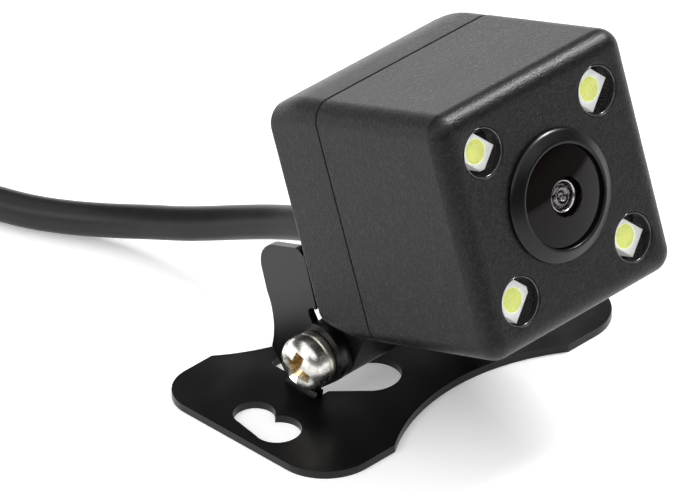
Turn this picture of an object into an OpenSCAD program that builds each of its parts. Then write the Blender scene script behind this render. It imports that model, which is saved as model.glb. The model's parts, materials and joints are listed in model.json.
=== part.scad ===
// Backup camera: a square housing with a wide lens and four lamps, tilting on a bent steel bracket,
// with its lead wound up and ending in a threaded plug. Origin at the middle of the bracket's underside.

/* [Housing] */
// Width of the housing, side to side
body_w = 24.2; // [23.6:0.1:24.8]
// Height of the housing
body_h = 24.4; // [23.8:0.1:25]
// Depth of the housing, front to back
body_d = 24; // [23.8:0.1:24.4]
// Wall thickness of the front housing
wall = 1.6; // [1.3:0.1:1.8]
// Radius of the long edges
edge_r = 2.1; // [1.2:0.1:2.6]
// Radius of the edges around the front face
front_r = 1.8; // [1:0.1:2.2]
// How much lower the back of the rear cover is, at the top and the bottom
rear_drop = 1.1; // [0.6:0.1:1.2]
// Depth of the rear cover behind the seam
cover_d = 7.1; // [6.6:0.1:7.4]

/* [Lens] */
// Outer radius of the lens ring
ring_r = 6.3; // [6.1:0.1:6.6]
// How far the ring's inner edge stands out of the face
ring_proud = 0.95; // [0.9:0.05:1.1]
// Radius of the front element
glass_r = 4.8; // [4.6:0.1:5]
// Radius of the lens barrel
barrel_r = 5.4; // [5.3:0.05:5.45]

/* [Lamps] */
// Distance of each lamp from the lens axis, sideways and upwards
lamp_at = 7.4; // [7.3:0.1:7.6]
// Radius of the lamp openings
lamp_hole_r = 2.4; // [2.3:0.05:2.5]

/* [Hinge] */
// Upward tilt of the lens at rest, in degrees
tilt = 17.5; // [0:0.5:25]
// Distance of the hinge axis behind the back face
hinge_back = 2.9; // [2.7:0.05:3]
// Distance of the hinge axis below the underside
hinge_down = 2.4; // [2.4:0.05:2.6]
// Radius of the hinge lug
lug_r = 2.9; // [2.7:0.1:3]
// Radius of the clamping screw
screw_r = 1.45; // [1.4:0.05:1.5]
// Radius of the hinge holes
hole_r = 1.55; // [1.55:0.01:1.6]

/* [Bracket] */
// Overall width of the bracket
plate_w = 41.2; // [40:0.2:44]
// Reach of the bracket in front of its middle
plate_front = 12.05; // [11.8:0.05:12.4]
// Reach of the bracket behind its middle
plate_back = 11.35; // [11.2:0.05:11.6]
// Sheet thickness
sheet = 0.8; // [0.8:0.1:1]
// Height of the hinge axis above the mounting surface
axis_z = 5.6; // [5.4:0.1:6]
// Inside bend radius of the ears
bend_r = 0.5; // [0.3:0.1:0.6]

/* [Lead] */
// Diameter of the lead
lead_d = 3.4; // [3.2:0.1:3.6]
// Radius to the middle of the wound turns
coil_r = 18.75; // [18.7:0.05:19]

/* [Hidden] */

smooth = 48;
half_w = body_w / 2;
half_h = body_h / 2;
half_d = body_d / 2;
seam_y = half_d - cover_d;
seam_gap = 0.15;
crown_start = 2.6;
axis_y = -1.3;

// depths of the inner stack, counted back from the front face
face_t = 2;
lamp_board_y = -half_d + 2.9;
lamp_board_t = 0.8;
lamp_front_y = -half_d + 1;
barrel_back_y = -half_d + 10.5;
holder_y = -half_d + 8;
main_board_y = 1;
main_board_t = 1;
boot_z = -6.8;
boot_len = 11;
cover_wall = 1.5;

// hinge stack along X, from the middle outwards
ear_x = 10.2;
lug_half = 9.3;
washer_t = 0.8;
flat_t = 0.5;
nut_t = 2.4;
head_r = 2.65;
spring_r = 2.6;
root_front = -1.05;
root_back = 3;
ear_top_c = [-1.5, 6];
ear_top_r = 3.1;

// wing outline of the bracket
wing_r = 5.2;
rear_wing_r = 4.2;
bow_r = 20.3;
front_bow_y = -28.7;
rear_bow_y = 27;
key_x = 17.25;
key_big = [-2.15, 2.27];
key_small = [1.35, 2];
key_shift = 0.3;

// the lead, its coil and its plug
lead_r = lead_d / 2;
coil_at = [-3, 88];
coil_lift = 0.5;
coil_in = coil_r - lead_d - 0.05;
coil_out = coil_r + lead_d + 0.05;
coil_h = 2 * lead_d;
plug_x = 2;
plug_z = 5.6;
route = [[0, 9, 10.5], [0, 14, 8.6], [-0.4, 17.3, 7.4], [-1, 20.4, 6.25], [-1.7, 23, 5.35],
         [-2.6, 25.8, 4.5], [-3.8, 30, 3.4], [-5.5, 34.3, 2.5], [-7.3, 38.3, 2], [-8.9, 42.2, 1.8],
         [-10.5, 47.2, 1.8], [-12.6, 53.4, 1.8], [-15, 60.2, 1.9], [-17.4, 67, 2.1],
         [-19.8, 74, 2.2], [-22.4, 81.4, 2.2]];
tail = [[-11.7, 106.5, 5.6], [-7, 109.2, 5.6], [-2.5, 111.4, 5.6], [2, 112, 5.6]];

// ---- shared shapes ----

function arc(c, r, a0, a1, n = 8) =
    [for (i = [0:n]) [c[0] + r * cos(a0 + (a1 - a0) * i / n), c[1] + r * sin(a0 + (a1 - a0) * i / n)]];

function rounded(w, h, r, n = 8) = concat(
    arc([w / 2 - r, h / 2 - r], r, 0, 90, n), arc([r - w / 2, h / 2 - r], r, 90, 180, n),
    arc([r - w / 2, r - h / 2], r, 180, 270, n), arc([w / 2 - r, r - h / 2], r, 270, 360, n));

function mirrored(points) = [for (i = [len(points) - 1:-1:0]) [-points[i][0], points[i][1]]];

// a straight run along Y from y0, of a shape drawn in X and Z
module along_y(y0, length) {
    translate([0, y0 + length, 0]) rotate([90, 0, 0]) linear_extrude(length) children();
}

// a straight run along X from x0, of a shape drawn in Y and Z
module along_x(x0, length) {
    translate([x0, 0, 0]) rotate([90, 0, 90]) linear_extrude(length) children();
}

// a round bar along Y
module bar_y(y0, length, r) {
    translate([0, y0 + length, 0]) rotate([90, 0, 0]) cylinder(h = length, r = r, $fn = smooth);
}

// a round bar along X on the hinge axis
module hinge_bar(x0, length, r) {
    translate([x0, axis_y, axis_z]) rotate([0, 90, 0]) cylinder(h = length, r = r, $fn = smooth);
}

// a turned shape whose profile is drawn as radius and depth along +Y
module turned_y() {
    rotate([-90, 0, 0]) mirror([0, 1, 0]) rotate_extrude($fn = smooth) children();
}

// the four lamp places, with the turn of each
module at_lamps() {
    for (sx = [-1, 1], sz = [-1, 1])
        translate([sx * lamp_at, 0, sz * lamp_at]) rotate([0, -45 * sx * sz, 0]) children();
}

// from the housing's own frame, centred on it, to its place on the tilted hinge
module housed() {
    translate([0, axis_y, axis_z]) rotate([-tilt, 0, 0])
        translate([0, -half_d - hinge_back, half_h + hinge_down]) children();
}

// ---- bracket ----

function wing_outline() = concat(
    arc([wing_r - plate_w / 2, wing_r - plate_front], wing_r, 180, 270, 16),
    arc([0, front_bow_y], bow_r, 124.8, 55.2, 36),
    arc([plate_w / 2 - wing_r, wing_r - plate_front], wing_r, 270, 360, 16),
    arc([plate_w / 2 - rear_wing_r, plate_back - rear_wing_r], rear_wing_r, 0, 90, 16),
    arc([0, rear_bow_y], bow_r, -50.4, -129.6, 36),
    arc([rear_wing_r - plate_w / 2, plate_back - rear_wing_r], rear_wing_r, 90, 180, 16));

// opening left in the sheet by an ear, on the left-hand side
function ear_opening() = concat(
    [[-ear_x - sheet - bend_r, root_front], [-9.55, root_front]],
    arc([-4.7, -1.8], 2.95, 223, 450, 36),
    [[-6, root_back + 0.4], [-10, root_back + 0.4], [-10, root_back],
        [-ear_x - sheet - bend_r, root_back]]);

// opening left by the tall fin of the left ear
fin_opening = concat([[-5, 0.8], [4.6, 0.8], [4.6, 3], [3.4, 4.4]],
    [[0.5, 5.4], [-7.6, 6.5]], arc([-9.4, 5.9], 0.6, 90, 180, 6), [[-10, 3.2], [-8, 3.2]]);

module keyhole() {
    translate([0, key_big[0]]) circle(key_big[1], $fn = smooth);
    translate([key_shift, key_small[0]]) circle(key_small[1], $fn = smooth);
    polygon([[-key_big[1], key_big[0]], [0, key_big[0]], [key_shift, key_small[0]],
        [key_shift - key_small[1], key_small[0]]]);
}

// ear outline in Y and Z, above the bend
function ear_front() = concat(
    [[root_front + 0.45, sheet + bend_r]], arc(ear_top_c, ear_top_r, 223, 75, 24));

function fin_outline() = concat(ear_front(),
    arc([-0.95, 10], 0.75, -50, 110, 8),
    [[-1.2, 11.3], [0.2, 16.4]],
    arc([1.2, 15.4], 1.1, 150, 80, 5),
    arc([3.4, 13], 2.7, 78, -14, 16),
    arc([13, 6.4], 8.4, 155, 197, 10),
    [[root_back, sheet + bend_r]]);

function short_outline() = concat(
    [[root_front + 0.45, sheet + bend_r]], arc(ear_top_c, ear_top_r, 223, 10, 30),
    [[1.7, 4.6], [2.2, 3], [root_back, sheet + bend_r]]);

// upright ear on the left, standing on its bend
module ear(outline) {
    along_x(-ear_x - sheet, sheet) polygon(outline);
    translate([0, root_back, 0]) rotate([90, 0, 0]) linear_extrude(root_back - root_front)
        translate([-ear_x - sheet - bend_r, sheet + bend_r]) polygon(concat(
            arc([0, 0], bend_r + sheet, -90, 0), arc([0, 0], bend_r, 0, -90)));
}

module bracket() {
    color("#1a1a1b") difference() {
        union() {
            linear_extrude(sheet) difference() {
                polygon(wing_outline());
                polygon(ear_opening());
                polygon(mirrored(ear_opening()));
                polygon(fin_opening);
                translate([-key_x, 0]) keyhole();
                mirror([1, 0]) translate([-key_x, 0]) keyhole();
            }
            ear(fin_outline());
            mirror([1, 0, 0]) ear(short_outline());
        }
        hinge_bar(-ear_x - 2, 2 * ear_x + 4, hole_r);
    }
}

// ---- housing ----

module front_housing() {
    color("#232426") housed() difference() {
        intersection() {
            along_y(-half_d, body_d - cover_d) polygon(rounded(body_w, body_h, edge_r));
            translate([0, 0, -half_h]) linear_extrude(body_h) polygon(concat(
                arc([half_w - front_r, front_r - half_d], front_r, 0, -90),
                arc([front_r - half_w, front_r - half_d], front_r, -90, -180),
                [[-half_w, seam_y], [half_w, seam_y]]));
            along_x(-half_w, body_w) polygon(concat(
                arc([front_r - half_d, half_h - front_r], front_r, 90, 180),
                arc([front_r - half_d, front_r - half_h], front_r, 180, 270),
                [[seam_y, -half_h], [seam_y, half_h]]));
        }
        along_y(face_t - half_d, body_d)
            polygon(rounded(body_w - 2 * wall, body_h - 2 * wall, edge_r - 1));
        bar_y(-half_d - 1, face_t + 2, barrel_r + 0.05);
        at_lamps() bar_y(-half_d - 1, face_t + 2, lamp_hole_r);
    }
}

// how far the crowned top and bottom of the rear cover are drawn in, so far behind the seam
function crown(back) = rear_drop * pow(max(0, back - crown_start) / (cover_d - crown_start), 2);

function cover_side() = concat(
    [[seam_y, half_h]], [for (b = [crown_start:0.65:cover_d - 0.4]) [seam_y + b, half_h - crown(b)]],
    [[half_d, half_h - rear_drop - 0.45], [half_d, rear_drop + 0.45 - half_h]],
    [for (b = [cover_d - 0.5:-0.65:crown_start]) [seam_y + b, crown(b) - half_h]], [[seam_y, -half_h]]);

module rear_cover() {
    back = half_d - cover_wall;
    color("#232426") housed() difference() {
        union() {
            intersection() {
                along_y(seam_y + seam_gap, cover_d - seam_gap) polygon(rounded(body_w - 0.1, body_h, edge_r));
                along_x(-half_w, body_w) polygon(cover_side());
                translate([0, 0, -half_h]) linear_extrude(body_h) polygon([
                    [half_w, seam_y], [half_w, half_d - 0.5], [half_w - 0.5, half_d],
                    [0.5 - half_w, half_d], [-half_w, half_d - 0.5], [-half_w, seam_y]]);
            }
            along_x(-lug_half, 2 * lug_half) polygon(concat(
                [[8, 1.2 - half_h], [back + 0.1, 2.3 - half_h], [half_d, 2.2 - half_h]],
                arc([half_d + hinge_back, -half_h - hinge_down], lug_r, 61, -135, 20)));
        }
        along_y(seam_y, back - seam_y) polygon(rounded(
            body_w - 2 * cover_wall - 0.4, body_h - 2 * cover_wall - 2 * rear_drop, 1, 4));
        translate([0, 0, boot_z]) bar_y(back - 1, cover_wall + 2, 2.4);
        translate([-lug_half - 1, half_d + hinge_back, -half_h - hinge_down])
            rotate([0, 90, 0]) cylinder(h = 2 * lug_half + 2, r = hole_r, $fn = smooth);
    }
}

module seam_gasket() {
    color("#0c0c0c") housed() along_y(seam_y, seam_gap) difference() {
        polygon(rounded(body_w - 0.5, body_h - 0.5, edge_r - 0.2));
        polygon(rounded(body_w - 2.6, body_h - 2.6, edge_r - 1));
    }
}

// ---- lens ----

module lens_ring() {
    top = -half_d - ring_proud;
    color("#18191a") housed() turned_y() polygon(concat(
        [[glass_r + 0.05, -half_d + 0.6], [glass_r + 0.05, top + 0.2], [glass_r + 0.15, top]],
        [[glass_r + 0.35, top], [ring_r - 0.15, -half_d - 0.4], [ring_r, -half_d - 0.25]],
        [[ring_r, -half_d], [barrel_r, -half_d], [barrel_r, -half_d + 0.6]]));
}

module lens_barrel() {
    color("#141414") housed() turned_y() polygon([
        [2.1, -half_d + 1.2], [glass_r + 0.05, -half_d + 1.2], [glass_r + 0.05, -half_d + 0.6],
        [barrel_r, -half_d + 0.6], [barrel_r, barrel_back_y], [2.6, barrel_back_y], [2.6, -4], [2.1, -6]]);
}

module front_glass() {
    edge = -half_d + 0.55;
    color("#0a0b0d") housed() turned_y() polygon(concat(
        [[0, edge + 0.6]], [for (i = [10:-1:0]) [glass_r * i / 10, edge - 1.1 * (1 - pow(i / 10, 2))]]));
}

module rear_lens() {
    color("#5a6472") housed() bar_y(-6.4, 1.4, 2.05);
}

module lens_seal() {
    color("#0d0d0d") housed() translate([0, -half_d + face_t + 0.45, 0]) rotate([90, 0, 0])
        rotate_extrude($fn = smooth) translate([barrel_r + 0.45, 0]) circle(0.42, $fn = 16);
}

module lens_holder() {
    color("#151515") housed() difference() {
        along_y(holder_y, main_board_y - holder_y) polygon(rounded(14, 14, 1, 4));
        bar_y(holder_y - 1, barrel_back_y - holder_y + 1.1, barrel_r + 0.02);
        along_y(barrel_back_y, main_board_y - barrel_back_y + 1) square(8.6, center = true);
    }
}

module ir_filter() {
    color("#7c2f3c") housed() along_y(-1.1, 0.3) square(8.4, center = true);
}

module image_sensor() {
    color("#2c3a3a") housed() along_y(main_board_y - 1, 1) square(7, center = true);
}

// ---- boards and lamps ----

module main_board() {
    color("#1d5b34") housed() along_y(main_board_y, main_board_t) difference() {
        polygon(rounded(20, 20, 1, 3));
        for (s = [-1, 1]) translate([s * 8.3, s * 8.3]) circle(0.75, $fn = 24);
    }
}

module board_screws() {
    color("#c9c9c9") housed() for (s = [-1, 1]) translate([s * 8.3, 0, s * 8.3]) {
        bar_y(main_board_y + main_board_t, 0.8, 1.3);
        bar_y(main_board_y - 3, main_board_t + 3, 0.7);
    }
}

module lamp_board() {
    color("#16181a") housed() along_y(lamp_board_y, lamp_board_t) difference() {
        polygon(rounded(20.4, 20.4, 1, 3));
        circle(barrel_r + 1.1, $fn = smooth);
    }
}

module lamp_packages() {
    depth = lamp_board_y - lamp_front_y;
    color("#eef0ea") housed() at_lamps() difference() {
        along_y(lamp_front_y, depth) square([2.8, 3.5], center = true);
        bar_y(lamp_front_y - 1, 1.6, 1.15);
    }
}

module lamp_phosphors() {
    color("#e2e655") housed() at_lamps() bar_y(lamp_front_y, 0.6, 1.15);
}

module lamp_windows() {
    color("#dfe6ea") housed() at_lamps() bar_y(-half_d + 0.35, 0.4, lamp_hole_r);
}

module board_socket() {
    color("#e8e4d4") housed() translate([0, 0, boot_z + 0.4]) along_y(main_board_y + main_board_t, 3.2)
        square([9, 4], center = true);
}

module wire_plug() {
    color("#ded9c6") housed() translate([0, 0, boot_z + 0.4]) along_y(main_board_y + main_board_t + 3.2, 1.8)
        square([8, 3], center = true);
}

module core_wires() {
    y0 = main_board_y + main_board_t + 5;
    color("#a33") housed() for (i = [-1.5:1:1.5]) translate([i * 1.1, 0, boot_z])
        bar_y(y0, half_d - cover_wall - 0.8 - y0, 0.45);
}

module cable_boot() {
    back = half_d - cover_wall;
    color("#161617") housed() translate([0, 0, boot_z]) turned_y() polygon([
        [0, back - 0.8], [2.9, back - 0.8], [2.9, back], [2.4, back], [2.4, half_d], [2.9, half_d],
        [2.9, half_d + 1.6], [2.4, half_d + 1.9], [2.4, half_d + 2.6], [2.7, half_d + 2.9],
        [2.6, half_d + 4], [2.2, half_d + 4.3], [2.2, half_d + 5], [2.5, half_d + 5.3],
        [2.4, half_d + 6.4], [2.1, half_d + 6.7], [2.1, half_d + 7.4], [2.3, half_d + 7.7],
        [2, half_d + boot_len], [0, half_d + boot_len]]);
}

// ---- hinge hardware ----

module ring_x(x0, length, r_out, r_in) {
    difference() {
        hinge_bar(x0, length, r_out);
        hinge_bar(x0 - 1, length + 2, r_in);
    }
}

module friction_washers() {
    gap = 0.05;
    color("#101010") for (s = [-1, 1])
        ring_x(s * (lug_half + ear_x - gap) / 2 - (ear_x - gap - lug_half) / 2, ear_x - gap - lug_half, lug_r, hole_r);
}

module clamp_screw() {
    head_x = -ear_x - sheet - washer_t - 0.03;
    color("#c8c6c2") difference() {
        union() {
            hinge_bar(head_x - 0.9, 0.9, head_r);
            translate([head_x - 0.9, axis_y, axis_z]) rotate([0, -90, 0]) rotate_extrude($fn = smooth)
                polygon(concat([[0, 0]], [for (i = [0:6]) [head_r * cos(i * 12), 1.25 * sin(i * 15)]], [[0, 1.25]]));
            hinge_bar(head_x, 26.4, screw_r);
        }
        translate([head_x - 2.4, axis_y, axis_z]) for (a = [20, 110]) rotate([a, 0, 0])
            translate([0, -1.45, -0.3]) cube([1.5, 2.9, 0.6]);
    }
}

module spring_washer() {
    color("#b9b7b2") difference() {
        ring_x(-ear_x - sheet - washer_t, washer_t, spring_r, hole_r + 0.02);
        translate([-ear_x - sheet - washer_t - 1, axis_y, axis_z]) rotate([150, 0, 0])
            translate([0, 0.5, -0.15]) cube([washer_t + 2, 4, 0.3]);
    }
}

module flat_washer() {
    color("#b9b7b2") ring_x(ear_x + sheet, flat_t, 3, hole_r + 0.02);
}

module lock_nut() {
    color("#bdbbb6") difference() {
        translate([ear_x + sheet + flat_t, axis_y, axis_z]) rotate([0, 90, 0])
            cylinder(h = nut_t, r = 2.75 / cos(30), $fn = 6);
        hinge_bar(ear_x, nut_t + 4, hole_r);
    }
}

// ---- the lead ----

// tube swept along points: eight-sided rings square to the route, closed at both ends
module tube(points, r) {
    n = len(points);
    sides = 8;
    function unit(v) = v / norm(v);
    function heading(i) = unit(points[min(i + 1, n - 1)] - points[max(i - 1, 0)]);
    rings = [for (i = [0:n - 1]) let (t = heading(i), side = unit(cross(t, [0, 0, 1])), up = cross(side, t))
        for (k = [0:sides - 1]) let (a = 360 * (k + 0.5) / sides) points[i] + r * (cos(a) * side + sin(a) * up)];
    polyhedron(points = rings, faces = concat(
        [[for (k = [0:sides - 1]) k]],
        [for (i = [0:n - 2], k = [0:sides - 1]) let (a = i * sides + k, b = i * sides + (k + 1) % sides)
            [b, a, a + sides, b + sides]],
        [[for (k = [sides - 1:-1:0]) (n - 1) * sides + k]]));
}

module lead_cable() {
    color("#1b1b1c") tube(route, lead_r);
}

module lead_tail() {
    color("#1b1b1c") tube(tail, lead_r);
}

module lead_coil() {
    color("#1b1b1c") translate([coil_at[0], coil_at[1], coil_lift]) rotate_extrude($fn = 96)
        translate([(coil_in + coil_out) / 2, coil_h / 2])
            polygon(rounded(coil_out - coil_in, coil_h, lead_r, 5));
}

module cable_tie() {
    gap = 0.12;
    strap = 0.35;
    mid = coil_at[1] - coil_r;
    size = [coil_out - coil_in + 2 * gap, coil_h + 2 * gap];
    color("#111") along_x(coil_at[0] - 1.3, 2.6) translate([mid, coil_lift + coil_h / 2]) difference() {
        union() {
            polygon(rounded(size[0] + 2 * strap, size[1] + 2 * strap, lead_r + 0.2, 5));
            translate([0, size[1] / 2 + 0.9]) square([4, 1.8], center = true);
        }
        polygon(rounded(size[0], size[1], lead_r, 5));
    }
}

// ---- the plug ----

// a turned shape whose profile is drawn as radius and length along +X
module plug_turned() {
    translate([plug_x, tail[3][1], plug_z]) rotate([0, 90, 0]) rotate_extrude($fn = smooth) children();
}

module plug_body() {
    color("#141415") plug_turned() polygon([[0, 0], [2.3, 0], [2.5, 3], [2.2, 3.3], [2.3, 4], [2.8, 4.3],
        [3, 6.5], [2.6, 6.8], [2.7, 7.5], [3.4, 7.8], [4.9, 10.5], [4.9, 18.8], [3.9, 18.8], [3.9, 26],
        [3.2, 26], [3.2, 22], [0, 22]]);
}

module plug_insert() {
    color("#202225") plug_turned() translate([0, 22]) square([3.2, 1.5]);
}

module plug_pins() {
    color("#cdb06a") translate([plug_x + 23.5, tail[3][1], plug_z]) for (a = [45:90:315])
        rotate([a, 0, 0]) translate([0, 1.7, 0]) rotate([0, 90, 0]) cylinder(h = 3, r = 0.45, $fn = 24);
}

module plug_seal() {
    color("#8c2f28") plug_turned() difference() {
        translate([3.9, 21]) square([0.45, 0.8]);
        translate([3, 20]) square([0.9, 3]);
    }
}

module plug_nut() {
    grip_r = 5.5;
    color("#1c1d1f") difference() {
        plug_turned() polygon([[4, 19.1], [grip_r - 0.3, 19.1], [grip_r, 19.4], [grip_r, 27.6],
            [grip_r - 0.3, 27.9], [4.6, 27.9], [4.6, 20.6], [4, 20.6]]);
        for (a = [0:20:340]) translate([plug_x + 18, tail[3][1], plug_z]) rotate([a, 0, 0])
            translate([0, grip_r + 0.1, 0]) rotate([0, 90, 0]) cylinder(h = 11, r = 0.5, $fn = 16);
    }
}

bracket();
front_housing();
rear_cover();
seam_gasket();
lens_ring();
lens_barrel();
front_glass();
rear_lens();
lens_seal();
lens_holder();
ir_filter();
image_sensor();
main_board();
board_screws();
lamp_board();
lamp_packages();
lamp_phosphors();
lamp_windows();
board_socket();
wire_plug();
core_wires();
cable_boot();
friction_washers();
clamp_screw();
spring_washer();
flat_washer();
lock_nut();
lead_cable();
lead_coil();
lead_tail();
cable_tie();
plug_body();
plug_insert();
plug_pins();
plug_seal();
plug_nut();
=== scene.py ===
"""Looks of a small square backup camera: a tilting housing on a bent steel bracket, with its wound lead.

Sizes are in millimetres, as in the part's source. Meshes are scaled to metres when they are finished.
"""

from __future__ import annotations

import json
import logging
import math
from collections.abc import Callable, Iterable, Sequence
from dataclasses import dataclass, field
from enum import Enum

import bmesh
import bpy
from mathutils import Matrix, Vector


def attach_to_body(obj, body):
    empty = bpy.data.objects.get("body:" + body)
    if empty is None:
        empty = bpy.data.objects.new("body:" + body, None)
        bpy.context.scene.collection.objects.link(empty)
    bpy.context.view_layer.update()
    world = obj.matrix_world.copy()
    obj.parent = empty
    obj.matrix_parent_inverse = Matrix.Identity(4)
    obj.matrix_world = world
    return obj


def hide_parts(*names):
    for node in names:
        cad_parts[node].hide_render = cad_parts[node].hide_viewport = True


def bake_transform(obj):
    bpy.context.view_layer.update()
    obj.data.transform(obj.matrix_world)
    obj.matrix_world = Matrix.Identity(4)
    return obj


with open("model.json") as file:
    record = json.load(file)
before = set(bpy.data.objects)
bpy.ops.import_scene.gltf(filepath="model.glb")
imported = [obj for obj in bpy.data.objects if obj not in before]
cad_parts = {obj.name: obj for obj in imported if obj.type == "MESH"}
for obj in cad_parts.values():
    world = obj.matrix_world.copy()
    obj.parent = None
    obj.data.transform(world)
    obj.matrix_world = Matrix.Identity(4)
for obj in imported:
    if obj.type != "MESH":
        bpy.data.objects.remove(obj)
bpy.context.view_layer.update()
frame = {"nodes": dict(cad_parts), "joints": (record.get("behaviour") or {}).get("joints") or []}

MM = 0.001
LOG = logging.getLogger("backup_camera")

# Points closer than MERGE become one, and a radius under ON_AXIS is a point on the axis.
MERGE = 1e-4
ON_AXIS = 1e-6

Point = tuple[float, float]
Point3 = tuple[float, float, float]
Colour = tuple[float, float, float]


# ---------------------------------------------------------------- shader expressions


class Expr:
    """A shader socket, or a number, that Python's operators work on."""

    def __init__(self, sheet: "ShaderSheet", socket: bpy.types.NodeSocket | float) -> None:
        """Keep the socket and the sheet that new nodes are added to."""
        self.sheet = sheet
        self.socket = socket

    def _math(self, operation: str, *terms: "Expr | float") -> "Expr":
        """Add one Math node for this value and the other terms."""
        values = [self.socket, *(t.socket if isinstance(t, Expr) else t for t in terms)]
        return self.sheet.node("ShaderNodeMath", {"operation": operation}, dict(enumerate(values)))

    def __add__(self, other: "Expr | float") -> "Expr":
        """self + other."""
        return self._math("ADD", other)

    __radd__ = __add__

    def __sub__(self, other: "Expr | float") -> "Expr":
        """self - other."""
        return self._math("SUBTRACT", other)

    def __rsub__(self, other: float) -> "Expr":
        """other - self."""
        return Expr(self.sheet, other)._math("SUBTRACT", self)

    def __mul__(self, other: "Expr | float") -> "Expr":
        """self * other."""
        return self._math("MULTIPLY", other)

    __rmul__ = __mul__

    def __gt__(self, other: "Expr | float") -> "Expr":
        """1 where self is greater than other, else 0."""
        return self._math("GREATER_THAN", other)

    def root(self) -> "Expr":
        """The square root of self."""
        return self._math("SQRT")

    def ramp(self, low: float, high: float, start: float = 0.0, end: float = 1.0) -> "Expr":
        """Map low..high smoothly onto start..end.

        Args:
            low: value that gives start.
            high: value that gives end.
            start: result at low.
            end: result at high.

        Returns:
            The mapped value.
        """
        return self.sheet.node(
            "ShaderNodeMapRange",
            {"interpolation_type": "SMOOTHSTEP"},
            {0: self.socket, 1: low, 2: high, 3: start, 4: end},
        )


class ShaderSheet:
    """One material's node tree, built by Python expressions."""

    def __init__(self, name: str) -> None:
        """Start an empty node material called name."""
        self.material = bpy.data.materials.new(name)
        self.material.use_nodes = True
        self.tree = self.material.node_tree
        self.tree.nodes.clear()
        self.output = self.tree.nodes.new("ShaderNodeOutputMaterial")
        self.where = self.node("ShaderNodeTexCoord", {}, {}, "Object")

    def node(
        self, kind: str, settings: dict[str, object], inputs: dict[int | str, object], out: int | str = 0
    ) -> Expr:
        """Add a node.

        Args:
            kind: the node's type.
            settings: its properties, which are set first.
            inputs: its sockets' values or links.
            out: which output to return.

        Returns:
            The chosen output.
        """
        made = self.tree.nodes.new(kind)
        for key, value in settings.items():
            setattr(made, key, value)
        for key, value in inputs.items():
            self.feed(made.inputs[key], value)
        return Expr(self, made.outputs[out])

    def feed(self, socket: bpy.types.NodeSocket, value: object) -> None:
        """Link value to the socket if it is a socket, or set it as the socket's value."""
        value = value.socket if isinstance(value, Expr) else value
        if isinstance(value, bpy.types.NodeSocket):
            self.tree.links.new(value, socket)
        elif isinstance(value, (tuple, list)) and len(value) == 3 and socket.type == "RGBA":
            socket.default_value = (*value, 1.0)
        else:
            socket.default_value = value

    def axes(self) -> tuple[Expr, ...]:
        """The coordinates, in metres, as three values."""
        split = self.node("ShaderNodeSeparateXYZ", {}, {0: self.where}).socket.node
        return tuple(Expr(self, out) for out in split.outputs)

    def noise(self, size_mm: float, detail: float = 3.0, roughness: float = 0.55) -> Expr:
        """Noise whose blots are about size_mm across, from 0 to 1."""
        inputs = {"Vector": self.where, "Scale": 1 / (size_mm * MM), "Detail": detail, "Roughness": roughness}
        return self.node("ShaderNodeTexNoise", {}, inputs, "Fac")

    def mix(self, factor: Expr | float, first: Colour | Expr, second: Colour | Expr) -> Expr:
        """A colour that goes from first to second as factor goes from 0 to 1."""
        return self.node("ShaderNodeMix", {"data_type": "RGBA"}, {0: factor, 6: first, 7: second}, 2)

    def bump(self, height: Expr, depth_mm: float) -> Expr:
        """A normal that height, from 0 to 1, raises by depth_mm."""
        inputs = {"Height": height, "Distance": depth_mm * MM, "Strength": 1.0}
        return self.node("ShaderNodeBump", {}, inputs, "Normal")

    def surface(self, **values: object) -> Expr:
        """Add the main shader, with its sockets named in words such as base_color."""
        inputs = {}
        for key, value in values.items():
            words = [w.upper() if w == "ior" else w.capitalize() for w in key.split("_")]
            inputs[" ".join(words)] = value
        return self.node("ShaderNodeBsdfPrincipled", {}, inputs)

    def finish(self, shader: Expr) -> bpy.types.Material:
        """Link the shader to the output and return the material."""
        self.feed(self.output.inputs["Surface"], shader)
        return self.material

    def coat(self, **values: object) -> bpy.types.Material:
        """Finish the material with the main shader alone, its sockets named as in surface."""
        return self.finish(self.surface(**values))


class WorldSheet(ShaderSheet):
    """The studio's surroundings: a white backdrop low down behind the object, dark above and in front."""

    def __init__(self, name: str) -> None:
        """Start an empty world called name."""
        self.world = bpy.data.worlds.new(name)
        self.world.use_nodes = True
        self.tree = self.world.node_tree
        self.tree.nodes.clear()
        self.output = self.tree.nodes.new("ShaderNodeOutputWorld")
        self.where = self.node("ShaderNodeTexCoord", {}, {}, "Generated")

    def build(self, backdrop: float = 2.7, above: float = 0.05, front: float = 0.1) -> None:
        """Make the world the scene's.

        Args:
            backdrop: brightness of the low backdrop behind the object.
            above: brightness everywhere high up.
            front: share of the backdrop's brightness that is left in front of the object.
        """
        _, y, z = self.axes()
        low = z.ramp(0.12, 0.34, 1.0, 0.0)
        behind = y.ramp(-0.3, 0.5, front, 1.0)
        strength = low * behind * (backdrop - above) + above
        sky = self.node("ShaderNodeBackground", {}, {0: (1.0, 1.0, 1.0), 1: strength})
        self.feed(self.output.inputs["Surface"], sky)
        bpy.context.scene.world = self.world


# ---------------------------------------------------------------- finishes


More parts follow.
